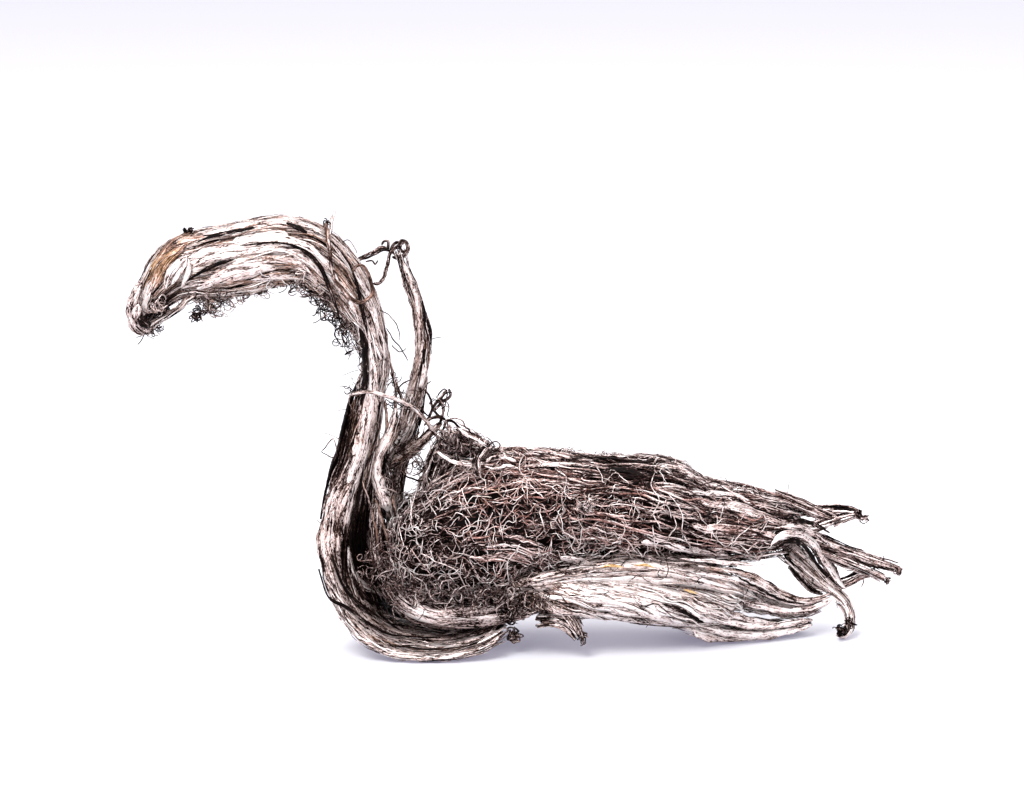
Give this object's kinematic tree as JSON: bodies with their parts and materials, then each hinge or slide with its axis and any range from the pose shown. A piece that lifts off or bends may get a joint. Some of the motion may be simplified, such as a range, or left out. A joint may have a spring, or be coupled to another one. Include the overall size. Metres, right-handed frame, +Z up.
{
  "type": "native silver specimen",
  "caption": "Loose specimen of native silver: wires grown together into an arched rope, a matted body and ragged tails, resting on its own curled base.",
  "frame": {"origin": "on the surface that the specimen stands on, under the middle of its bounding box", "axes": "+X along its length from the head to the tails, +Z up, -Y is the side that shows the open base loop"},
  "size_m": [0.1112, 0.0257, 0.0641],
  "materials": {
    "silver": "fibrous pale native silver with dark grooves and brown tarnish",
    "tarnished_silver": "matted native silver wire, blackened between the wires"
  },
  "bodies": {
    "root": {"neck_and_head": "silver", "back_strand": "silver", "body": "tarnished_silver", "lower_bundle": "silver", "upper_tail": "tarnished_silver", "middle_tail": "tarnished_silver", "curled_tail": "silver"}
  },
  "joints": []
}
